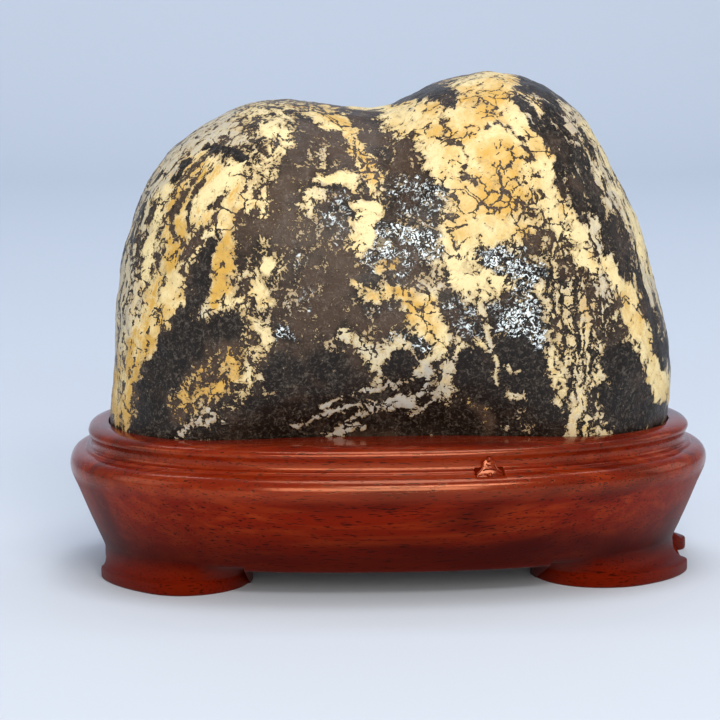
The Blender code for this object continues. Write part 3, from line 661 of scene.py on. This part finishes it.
@dataclass
class WornStone:
    """The stone: a dense copy of its solid, with fine relief, and its minerals painted as fields."""

    view: ReferenceView
    relief: float = 0.32 * MM
    relief_length: float = 5.0 * MM
    wander: tuple[tuple[float, float], ...] = ((9.0 * MM, 9.0), (4.0 * MM, 7.0), (1.8 * MM, 5.0))
    depth_wander_px: float = 34.0
    half_length: float = 80.0 * MM
    widest_z: float = 45.0 * MM
    height_above: float = 100.0 * MM
    left_lean: float = 0.42
    drawn_out: float = 9.0
    marks: tuple[Mark, ...] = field(default=LEFT_MARKS + MIDDLE_MARKS + HUMP_MARKS)

    def copy_of_solid(self, material: bpy.types.Material) -> bpy.types.Object:
        """Copies the solid's mesh as one smooth skin and makes it dense.

        Args:
            material: The stone's finish.

        Returns:
            The dense stone.
        """
        builder = bmesh.new()
        builder.from_mesh(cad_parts["stone"].data)
        bmesh.ops.remove_doubles(builder, verts=builder.verts, dist=1e-6)
        bmesh.ops.recalc_face_normals(builder, faces=builder.faces)
        stone = new_piece("worn_stone", builder, material)
        stone.data.materials.clear()
        stone.data.materials.append(material)
        smoother = stone.modifiers.new("worn smooth", "SUBSURF")
        smoother.levels = smoother.render_levels = 2
        apply_modifiers(stone)
        return stone

    def carve_relief(self, stone: bpy.types.Object) -> None:
        """Lifts and sinks the surface by a fraction of a millimetre, as wear leaves it.

        Args:
            stone: The dense stone.
        """
        moves = []
        for vertex in stone.data.vertices:
            place = vertex.co / self.relief_length
            rise = noise.fractal(place, 0.9, 2.1, 4, noise_basis="PERLIN_ORIGINAL")
            moves.append(vertex.normal * (rise * self.relief))
        for vertex, move in zip(stone.data.vertices, moves):
            vertex.co += move

    def placed_pixels(self, points: np.ndarray) -> tuple[np.ndarray, np.ndarray]:
        """Where each point lies among the marks, and how far the marks' edges wander there.

        Args:
            points: World points, one a row.

        Returns:
            Pixel positions, which drift deeper in the stone, and pixel offsets, one a row.
        """
        places = [Vector(point) for point in points]
        offsets = np.zeros((len(points), 2))
        for length, reach_px in self.wander:
            offsets += np.array([noise.noise_vector(place / length)[:2] for place in places]) * reach_px
        far = np.array([noise.noise_vector(place / (22.0 * MM))[:2] for place in places])
        depth = np.clip((points[:, 1] + 0.004) / 0.035, 0.0, 1.0)[:, None]
        return self.view.pixels(points) + far * depth * self.depth_wander_px, offsets

    def paint(self, stone: bpy.types.Object) -> None:
        """Lays every mark over the ground, in order, and stores the fields and the flow on the mesh.

        Args:
            stone: The dense stone.
        """
        points = np.empty(len(stone.data.vertices) * 3, np.float32)
        stone.data.vertices.foreach_get("co", points)
        points = points.reshape(-1, 3).astype(float)
        straight, offsets = self.placed_pixels(points)
        fields = np.tile(np.array(GROUND), (len(points), 1))
        for mark in self.marks:
            away = np.full(len(points), np.inf)
            path = np.array(mark.path_px, float)
            pixels = straight + offsets * min(1.0, 0.3 + mark.width_px / 30.0)
            for start, end in zip(path[:-1], path[1:]):
                along = end - start
                share = np.clip(((pixels - start) @ along) / (along @ along), 0.0, 1.0)
                away = np.minimum(away, np.linalg.norm(pixels - start - share[:, None] * along, axis=1))
            soft = 1.5 + 0.18 * mark.width_px
            cover = np.clip((mark.width_px / 2.0 + soft - away) / (2.0 * soft), 0.0, 1.0)
            cover = (cover * cover * (3.0 - 2.0 * cover) * mark.strength)[:, None]
            fields += (np.array(mark.mineral.value) - fields) * cover
        for column, name in enumerate(FIELDS):
            layer = stone.data.attributes.new(name, "FLOAT", "POINT")
            layer.data.foreach_set("value", fields[:, column].astype(np.float32))
        self.store_flow(stone, points)

    def store_flow(self, stone: bpy.types.Object, points: np.ndarray) -> None:
        """Stores the streaks' own coordinates: they run down the stone and spread as its outline does.

        Args:
            stone: The dense stone.
            points: Its vertices.
        """
        above = np.clip((points[:, 2] - self.widest_z) / self.height_above, 0.0, 0.97)
        half = self.half_length * (1.0 - above ** 3) ** 0.4
        leaning = np.clip(-points[:, 0] / self.half_length, 0.0, 0.6) * self.left_lean * above * self.height_above
        across = (points[:, 0] - leaning) / half * self.half_length
        flow = np.stack([across, points[:, 1], points[:, 2] / self.drawn_out], axis=1)
        layer = stone.data.attributes.new("flow", "FLOAT_VECTOR", "POINT")
        layer.data.foreach_set("vector", flow.astype(np.float32).ravel())

    def build(self, material: bpy.types.Material) -> bpy.types.Object:
        """Makes the stone.

        Args:
            material: The stone's finish.

        Returns:
            The piece that stands for the node "stone".
        """
        stone = self.copy_of_solid(material)
        self.carve_relief(stone)
        self.paint(stone)
        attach(stone, "root")
        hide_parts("stone")
        LOG.info("stone: %d vertices", len(stone.data.vertices))
        return stone


@dataclass
class CarvedStand:
    """The stand: its plan, its mouldings and its feet, drawn line by line round the block."""

    half_length: float = 84.8 * MM
    half_depth: float = 47.5 * MM
    left_bluntness: float = 2.5
    right_bluntness: float = 2.2
    stations: int = 640
    apron_bottom: float = 7.7 * MM
    underside: float = 10.5 * MM
    foot_edge: float = 3.4 * MM
    waist_height: float = 9.0 * MM
    waist_out: float = -3.8 * MM
    lip_thickness: float = 9.0 * MM
    foot_out: float = -1.0 * MM
    foot_depth: float = 24.0 * MM
    foot_from_end: float = 14.0 * MM
    foot_end_round: float = 3.0 * MM
    left_foot_to_side: float = 43.5 * MM
    right_foot_to_side: float = 47.0 * MM
    foot_side_round: float = 26.0 * MM
    foot_curl: float = 28.0 * MM
    foot_wall: float = 2.0 * MM
    spine_half_length: float = 36.0 * MM
    spine_depth: float = -8.0 * MM
    left_splay: float = -1.0 * MM
    front_right_splay: float = 2.2 * MM
    rear_right_splay: float = 6.2 * MM
    seat_gap: float = 0.45 * MM
    apron_mm: tuple[tuple[float, float], ...] = (
        (-3.45, 9.8), (-2.9, 11.1), (-2.2, 12.6), (-1.3, 14.7), (-0.35, 16.9), (0.6, 19.2), (1.45, 21.3),
        (2.25, 23.3), (3.0, 25.2), (3.6, 26.6), (4.1, 27.7),
    )
    shoulder_mm: tuple[tuple[float, float], ...] = (
        (4.5, 28.6), (4.85, 29.5), (5.08, 30.4), (5.2, 31.4), (5.16, 32.3), (4.98, 33.1), (4.6, 33.9),
        (4.0, 34.6), (3.3, 35.08), (2.5, 35.4), (1.8, 35.6), (1.2, 35.7),
    )
    rim_mm: tuple[tuple[float, float], ...] = (
        (1.0, 35.75), (0.92, 36.05), (0.65, 36.35), (0.2, 36.5), (-0.3, 36.55), (-0.62, 36.7), (-0.8, 37.1),
        (-0.86, 37.8), (-0.8, 38.5), (-0.6, 39.2), (-0.32, 39.8), (-0.1, 40.3), (-0.02, 40.7), (-0.15, 41.15),
        (-0.45, 41.55), (-0.95, 41.92), (-1.6, 42.25), (-2.5, 42.55), (-3.5, 42.78), (-4.6, 42.88), (-5.6, 42.9),
    )

    def rim_point(self, turn: float) -> Vector:
        """A point of the rim's widest line.

        Args:
            turn: The angle round the plan, in radians.

        Returns:
            The point, in plan.
        """
        bluntness = self.left_bluntness if math.cos(turn) < 0 else self.right_bluntness
        power = 2.0 / bluntness
        return Vector((
            self.half_length * math.copysign(abs(math.cos(turn)) ** power, math.cos(turn)),
            self.half_depth * math.copysign(abs(math.sin(turn)) ** power, math.sin(turn)),
        ))

    def plan_stations(self, count: int) -> tuple[list[tuple[Vector, Vector, float]], float]:
        """Evenly spaced stations round the rim's widest line.

        Args:
            count: How many stations.

        Returns:
            Each station's point, outward normal and way along the line from the middle of the stand's
            nearer end, and the length of a quarter of the line.
        """
        fine = 6000
        line = [self.rim_point(math.tau * (i + 0.5) / fine) for i in range(fine)]
        reached = [0.0]
        for i in range(fine):
            reached.append(reached[-1] + (line[(i + 1) % fine] - line[i]).length)
        total = reached[-1]
        stations, i = [], 0
        for k in range(count):
            wanted = total * k / count
            while reached[i + 1] < wanted:
                i += 1
            share = (wanted - reached[i]) / (reached[i + 1] - reached[i])
            point = line[i].lerp(line[(i + 1) % fine], share)
            along = (line[(i + 4) % fine] - line[(i - 3) % fine]).normalized()
            from_end = wanted % (total / 2.0)
            stations.append((point, Vector((along.y, -along.x)), min(from_end, total / 2.0 - from_end)))
        return stations, total / 4.0

    def foot_shape(self, point: Vector, from_end: float, quarter: float) -> tuple[float, float]:
        """How much of a foot a station has, and how far out the foot's edge is there.

        Args:
            point: The station's point.
            from_end: Its way along the line from the middle of the nearer end.
            quarter: A quarter of the line's length.

        Returns:
            The foot's weight, from 0 to 1, and its edge, from the rim's widest line.
        """
        from_side = quarter - from_end
        left = point.x < 0
        to_side = self.left_foot_to_side if left else self.right_foot_to_side
        past_end = max(0.0, self.foot_from_end - from_end) / self.foot_end_round
        past_side = max(0.0, to_side + self.foot_side_round - from_side) / self.foot_side_round
        end_inset = self.foot_end_round * (1.0 - math.sqrt(1.0 - min(0.97, past_end) ** 2))
        side_inset = self.foot_curl * (1.0 - math.sqrt(1.0 - min(0.97, past_side) ** 2))
        right_splay = self.rear_right_splay if point.y > 0 else self.front_right_splay
        splay = self.left_splay if left else right_splay
        reach = self.foot_out + splay * smooth_step(abs(point.x), 58.0 * MM, 80.0 * MM)
        first = self.foot_from_end - self.foot_end_round
        weight = min(
            smooth_step(from_end, first - self.foot_wall, first),
            smooth_step(from_side, to_side - self.foot_wall, to_side),
        )
        return weight, reach - end_inset - side_inset

    def foot_profile(self, edge: float) -> list[tuple[float, float]]:
        """A foot's section, from the underside out, round the flange and up its cove to the waist.

        Args:
            edge: How far out the flange reaches.

        Returns:
            (outward, height) of each line.
        """
        inner = self.waist_out - self.foot_depth
        hollow = [(-1.5 * MM, self.underside), (-0.2 * MM, self.underside - 0.5 * MM), (0.0, 0.3 * MM), (0.3 * MM, 0.0)]
        top = self.foot_edge
        flange = [
            (-0.6 * MM, 0.0), (-0.25 * MM, 0.12 * MM), (-0.06 * MM, 0.45 * MM), (0.0, 1.1 * MM),
            (0.0, top - 0.8 * MM), (-0.04 * MM, top - 0.3 * MM), (-0.2 * MM, top), (-0.5 * MM, top + 0.2 * MM),
        ]
        leaning = smooth_step(self.waist_out - edge, -1.0 * MM, 2.0 * MM)
        start_out, start_up = edge - 0.5 * MM, top + 0.2 * MM
        cove = []
        for t in (0.14, 0.3, 0.46, 0.62, 0.78, 0.92):
            inward = (1.0 - (1.0 - t) ** 2.2) * (1.0 - leaning) + t * leaning
            upward = t ** 1.5 * (1.0 - leaning) + t * leaning
            cove.append((
                start_out + (self.waist_out - start_out) * inward,
                start_up + (self.waist_height - start_up) * upward,
            ))
        lines = [(inner + out, up) for out, up in hollow] + [(edge + out, up) for out, up in flange]
        return lines + cove + [(self.waist_out, self.waist_height)]

    def gap_profile(self) -> list[tuple[float, float]]:
        """The apron's lower edge between two feet, with as many lines as a foot has.

        Returns:
            (outward, height) of each line.
        """
        inner = self.waist_out - self.foot_depth
        lip, low, waist = self.waist_out - self.lip_thickness, self.apron_bottom, self.waist_out
        start = [
            (inner - 1.5 * MM, self.underside), (lip - 1.0 * MM, self.underside),
            (lip - 0.1 * MM, low + 0.8 * MM), (lip + 0.4 * MM, low + 0.2 * MM),
        ]
        rounded = [
            (-1.5, 0.0), (-1.2, 0.0), (-0.95, 0.05), (-0.75, 0.14), (-0.6, 0.26), (-0.48, 0.4), (-0.4, 0.52),
            (-0.33, 0.62), (-0.28, 0.72), (-0.22, 0.82), (-0.17, 0.92), (-0.12, 1.02), (-0.08, 1.12), (-0.04, 1.22),
        ]
        return start + [(waist + out * MM, low + up * MM) for out, up in rounded] + [(waist, self.waist_height)]

    def profile(self, point: Vector, from_end: float, quarter: float) -> list[tuple[float, float]]:
        """The stand's section at one station, from the underside out and up to the seat's top.

        Args:
            point: The station's point.
            from_end: Its way along the line from the middle of the nearer end.
            quarter: A quarter of the line's length.

        Returns:
            (outward, height) of each line, from the rim's widest line.
        """
        weight, edge = self.foot_shape(point, from_end, quarter)
        lower = [
            (gap[0] + weight * (foot[0] - gap[0]), gap[1] + weight * (foot[1] - gap[1]))
            for foot, gap in zip(self.foot_profile(edge), self.gap_profile())
        ]
        return lower + [(out * MM, up * MM) for out, up in self.apron_mm + self.shoulder_mm + self.rim_mm]

    def place(self, point: Vector, normal: Vector, outward: float) -> Vector:
        """A plan point that far outside the rim's widest line, or inside it towards the stand's spine.

        Args:
            point: The station's point.
            normal: Its outward normal.
            outward: How far out the wanted point is.

        Returns:
            The point, in plan.
        """
        plan = point + normal * max(outward, self.spine_depth)
        if outward >= self.spine_depth:
            return plan
        spine = Vector((min(self.spine_half_length, max(-self.spine_half_length, plan.x)), 0.0))
        return plan + (spine - plan).normalized() * (self.spine_depth - outward)

    def block(self, material: bpy.types.Material) -> bpy.types.Object:
        """Draws the stand's block: one loop, extruded from line to line of the profile.

        Args:
            material: The wood's finish.

        Returns:
            The stand without its seat.
        """
        stations, quarter = self.plan_stations(self.stations)
        profiles = [self.profile(point, from_end, quarter) for point, _, from_end in stations]
        builder = bmesh.new()
        loop = bmesh.ops.create_circle(builder, segments=self.stations, radius=self.half_length)["verts"]
        edges = [builder.edges.get((a, b)) for a, b in zip(loop, loop[1:] + loop[:1])]
        lines = len(profiles[0])
        for index in range(lines):
            if index:
                made = bmesh.ops.extrude_edge_only(builder, edges=edges)["geom"]
                new = {v for v in made if isinstance(v, bmesh.types.BMVert)}
                loop = [next(e.other_vert(v) for e in v.link_edges if e.other_vert(v) in new) for v in loop]
                edges = [builder.edges.get((a, b)) for a, b in zip(loop, loop[1:] + loop[:1])]
            for vertex, (point, normal, _), profile in zip(loop, stations, profiles):
                plan = self.place(point, normal, profile[index][0])
                vertex.co = (plan.x, plan.y, profile[index][1])
            if index in (0, lines - 1):
                bmesh.ops.contextual_create(builder, geom=edges)
        bmesh.ops.recalc_face_normals(builder, faces=builder.faces)
        return new_piece("carved_stand", builder, material)

    def cut_away(self, stand: bpy.types.Object, builder: bmesh.types.BMesh, name: str) -> None:
        """Cuts a closed shape out of the stand.

        Args:
            stand: The block to cut.
            builder: The shape, which is freed.
            name: What the cut is.
        """
        cutter = new_piece(f"{name}_cutter", builder, stand.data.materials[0])
        modifier = stand.modifiers.new(name, "BOOLEAN")
        modifier.operation, modifier.solver, modifier.object = "DIFFERENCE", "EXACT", cutter
        apply_modifiers(stand)
        bpy.data.objects.remove(cutter)

    def seat_shape(self) -> bmesh.types.BMesh:
        """The seat: the stone's own shape with a hair of room.

        Returns:
            The closed shape to cut.
        """
        builder = bmesh.new()
        builder.from_mesh(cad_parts["stone"].data)
        bmesh.ops.remove_doubles(builder, verts=builder.verts, dist=1e-6)
        bmesh.ops.recalc_face_normals(builder, faces=builder.faces)
        builder.normal_update()
        moves = [(vertex, vertex.normal * self.seat_gap) for vertex in builder.verts]
        for vertex, move in moves:
            vertex.co += move
        return builder

    def build(self, material: bpy.types.Material) -> bpy.types.Object:
        """Makes the stand, with the recess that its ornament is carved in.

        Args:
            material: The wood's finish.

        Returns:
            The piece that stands for the node "stand".
        """
        stand = self.block(material)
        self.cut_away(stand, self.seat_shape(), "seat")
        ornament = RimOrnament(self)
        self.cut_away(stand, ornament.recess(), "recess")
        stand.data.set_sharp_from_angle(angle=math.radians(38.0))
        for piece in (stand, ornament.build(material)):
            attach(piece, "root")
            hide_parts("stand")
            LOG.info("%s: %d faces", piece.name, len(piece.data.polygons))
        return stand


@dataclass
class RimOrnament:
    """The small bell carved on the rim's face: a plaque with ribs, a collar, volutes and two beads."""

    stand: CarvedStand
    middle_x: float = 24.4 * MM
    recess_half_width: float = 4.0 * MM
    recess_bottom: float = 34.9 * MM
    recess_top: float = 36.9 * MM
    recess_floor: float = -0.85 * MM
    plaque_mm: tuple[tuple[float, float], ...] = (
        (3.7, 34.6), (3.5, 35.6), (2.3, 36.4), (1.75, 37.4), (1.5, 38.6), (0.9, 39.3),
    )
    rib_radius: float = 0.24 * MM
    ribs_mm: tuple[tuple[tuple[float, float, float], ...], ...] = (
        ((1.45, 0.05, 38.7), (1.6, 0.25, 37.9), (1.95, 0.55, 37.0), (2.8, 0.9, 36.2), (3.7, 1.0, 35.7)),
        ((-1.45, 0.05, 38.7), (-1.6, 0.25, 37.9), (-1.95, 0.55, 37.0), (-2.8, 0.9, 36.2), (-3.7, 1.0, 35.7)),
        ((-1.8, 0.65, 36.4), (-1.0, 0.75, 36.9), (0.0, 0.8, 37.05), (1.0, 0.75, 36.9), (1.8, 0.65, 36.4)),
        ((-0.85, 0.2, 38.2), (-0.45, 0.3, 37.95), (0.0, 0.32, 37.88), (0.45, 0.3, 37.95), (0.85, 0.2, 38.2)),
        ((0.7, 1.5, 35.5), (1.5, 1.35, 35.65), (2.4, 1.25, 35.45), (3.3, 1.3, 35.1)),
        ((-0.7, 1.5, 35.5), (-1.5, 1.35, 35.65), (-2.4, 1.25, 35.45), (-3.3, 1.3, 35.1)),
    )
    beads_mm: tuple[tuple[float, float, float], ...] = ((0.1, 39.35, 0.68), (1.55, 35.35, 0.72))

    def place(self, across: float, outward: float, height: float) -> Vector:
        """A point of the ornament.

        Args:
            across: Its offset along the rim.
            outward: How far it stands out from the rim's widest line.
            height: Its height.

        Returns:
            The point.
        """
        stations, _ = self.stand.plan_stations(1600)
        front = [station for station in stations if station[0].y < 0]
        point, normal, _ = min(front, key=lambda station: abs(station[0].x - self.middle_x))
        plan = point + Vector((-normal.y, normal.x)) * across + normal * outward
        return Vector((plan.x, plan.y, height))

    def slab(self, corners: list[tuple[float, float]], back: float, front: float) -> bmesh.types.BMesh:
        """A flat outline, extruded outward from the rim.

        Args:
            corners: (across, height) of each corner.
            back: How far out its back is.
            front: How far out its front is.

        Returns:
            The closed slab.
        """
        builder = bmesh.new()
        face = builder.faces.new([builder.verts.new(self.place(across, back, up)) for across, up in corners])
        made = bmesh.ops.extrude_face_region(builder, geom=[face])["geom"]
        outward = self.place(0.0, front, 0.0) - self.place(0.0, back, 0.0)
        bmesh.ops.translate(builder, verts=[v for v in made if isinstance(v, bmesh.types.BMVert)], vec=outward)
        bmesh.ops.recalc_face_normals(builder, faces=builder.faces)
        return builder

    def recess(self) -> bmesh.types.BMesh:
        """The recess in the bead behind the ornament, as the closed shape to cut."""
        half, low, top = self.recess_half_width, self.recess_bottom, self.recess_top
        return self.slab([(-half, low), (half, low), (half, top), (-half, top)], self.recess_floor, 4.0 * MM)

    def rib(self, builder: bmesh.types.BMesh, path: tuple[tuple[float, float, float], ...]) -> None:
        """Sweeps a small round along a path, with closed and thinner ends.

        Args:
            builder: The bmesh that the rib goes into.
            path: (across, outward, height) of its points, in millimetres.
        """
        points = [self.place(*(value * MM for value in step)) for step in path]
        sides, last = 10, len(points) - 1
        loop = bmesh.ops.create_circle(builder, segments=sides, radius=self.rib_radius)["verts"]
        edges = [builder.edges.get((a, b)) for a, b in zip(loop, loop[1:] + loop[:1])]
        for index, point in enumerate(points):
            if index:
                made = bmesh.ops.extrude_edge_only(builder, edges=edges)["geom"]
                new = {v for v in made if isinstance(v, bmesh.types.BMVert)}
                loop = [next(e.other_vert(v) for e in v.link_edges if e.other_vert(v) in new) for v in loop]
                edges = [builder.edges.get((a, b)) for a, b in zip(loop, loop[1:] + loop[:1])]
            along = points[min(last, index + 1)] - points[max(0, index - 1)]
            turn = along.to_track_quat("Z", "Y")
            radius = self.rib_radius * (0.55 if index in (0, last) else 1.0)
            for k, vertex in enumerate(loop):
                angle = math.tau * k / sides
                vertex.co = point + turn @ Vector((math.cos(angle), math.sin(angle), 0.0)) * radius
            if index in (0, last):
                bmesh.ops.contextual_create(builder, geom=edges)

    def build(self, material: bpy.types.Material) -> bpy.types.Object:
        """Makes the ornament.

        Args:
            material: The wood's finish.

        Returns:
            The ornament as one piece.
        """
        half = [(across * MM, up * MM) for across, up in self.plaque_mm]
        builder = self.slab(half + [(-across, up) for across, up in reversed(half)], -2.0 * MM, -0.2 * MM)
        lowest = self.plaque_mm[0][1] * MM
        front_y = min(v.co.y for v in builder.verts)
        outward = (self.place(0.0, 1.0, 0.0) - self.place(0.0, 0.0, 0.0)).normalized()
        for vertex in builder.verts:
            if vertex.co.y < front_y + 1.2 * MM:
                drop = max(0.0, 39.3 * MM - vertex.co.z) / (39.3 * MM - lowest)
                vertex.co += outward * (1.6 * MM * drop ** 1.5)
        rounded = [edge for edge in builder.edges if edge.calc_face_angle(0.0) > 0.5]
        bmesh.ops.bevel(
            builder, geom=rounded, offset=0.14 * MM, segments=2, profile=0.5, affect="EDGES", material=-1,
        )
        for path in self.ribs_mm:
            self.rib(builder, path)
        for outward_mm, height_mm, radius_mm in self.beads_mm:
            bead = bmesh.ops.create_uvsphere(builder, u_segments=24, v_segments=16, radius=radius_mm * MM)["verts"]
            bmesh.ops.translate(builder, verts=bead, vec=self.place(0.0, outward_mm * MM, height_mm * MM))
        bmesh.ops.recalc_face_normals(builder, faces=builder.faces)
        return new_piece("rim_ornament", builder, material)


@dataclass
class Studio:
    """A pale paper sweep and soft lights round the object."""

    sweep_width: float = 6.0
    sweep_front: float = 2.4
    sweep_back: float = 1.1
    sweep_height: float = 2.4
    sweep_radius: float = 0.5

    def sweep(self, material: bpy.types.Material) -> bpy.types.Object:
        """Makes the floor, which curves up into the backdrop.

        Args:
            material: The paper's finish.

        Returns:
            The sweep.
        """
        builder = bmesh.new()
        made = bmesh.ops.create_grid(builder, x_segments=1, y_segments=1, size=0.5)["verts"]
        for vertex in made:
            depth = self.sweep_back if vertex.co.y > 0 else -self.sweep_front
            vertex.co = (math.copysign(self.sweep_width / 2.0, vertex.co.x), depth, 0.0)
        back = next(e for e in builder.edges if all(v.co.y > 0 for v in e.verts))
        bent = bmesh.ops.spin(
            builder, geom=[back], cent=(0.0, self.sweep_back, self.sweep_radius), axis=(1.0, 0.0, 0.0),
            angle=math.pi / 2.0, steps=12,
        )["geom_last"]
        wall = bmesh.ops.extrude_edge_only(
            builder, edges=[e for e in bent if isinstance(e, bmesh.types.BMEdge)])["geom"]
        bmesh.ops.translate(builder, verts=[v for v in wall if isinstance(v, bmesh.types.BMVert)],
                            vec=(0.0, 0.0, self.sweep_height))
        bmesh.ops.recalc_face_normals(builder, faces=builder.faces)
        sweep = new_piece("paper_sweep", builder, material)
        return sweep

    def light(self, name: str, place: tuple[float, float, float], target: tuple[float, float, float],
              size: tuple[float, float], watts: float, tint: str) -> bpy.types.Object:
        """Adds a soft rectangular light.

        Args:
            name: The light's name.
            place: Where it stands.
            target: The point that it faces.
            size: Its width and height.
            watts: Its power.
            tint: Its colour, in sRGB hex.

        Returns:
            The light.
        """
        data = bpy.data.lights.new(name, "AREA")
        data.shape, data.size, data.size_y = "RECTANGLE", *size
        data.energy, data.color = watts, linear(tint)[:3]
        lamp = bpy.data.objects.new(name, data)
        lamp.location = place
        lamp.rotation_euler = (Vector(place) - Vector(target)).to_track_quat("Z", "Y").to_euler()
        bpy.context.scene.collection.objects.link(lamp)
        return lamp

    def build(self, material: bpy.types.Material) -> None:
        """Makes the sweep, the lights and the room's own light.

        Args:
            material: The paper's finish.
        """
        self.sweep(material)
        middle = (0.0, 0.0, 0.07)
        self.light("key", (0.25, -1.05, 0.85), middle, (0.6, 0.25), 6.5, "FFF9F0")
        self.light("low front", (0.0, -1.30, 0.42), middle, (0.8, 0.50), 9.5, "FFF6EA")
        self.light("top", (0.10, -0.12, 1.15), middle, (0.55, 0.5), 4.5, "FAFAFA")
        self.light("left fill", (-1.2, -0.5, 0.5), middle, (0.8, 0.8), 2.8, "F6F6F6")
        self.light("right fill", (1.3, 0.1, 0.5), middle, (0.7, 0.7), 1.8, "F6F6F6")
        self.light("backdrop wash", (0.0, 0.45, 1.5), (0.0, 1.6, 0.5), (1.6, 0.4), 12.0, "E0ECFF")
        world = bpy.data.worlds.new("room")
        world.use_nodes = True
        ground = world.node_tree.nodes["Background"]
        ground.inputs["Color"].default_value = linear("E2E8F2")
        ground.inputs["Strength"].default_value = 0.38
        bpy.context.scene.world = world
        bpy.context.scene.view_settings.view_transform = "Standard"
        LOG.info("studio: sweep, six lights and a pale room")


def main() -> None:
    """Builds the view, the stone, the stand and the studio."""
    logging.basicConfig(level=logging.INFO, format="%(name)s: %(message)s")
    view = ReferenceView()
    view.build()
    WornStone(view).build(MarbledStone().build())
    CarvedStand().build(LacqueredRosewood().build())
    Studio().build(MattePaper().build())


if __name__ == "__main__":
    main()
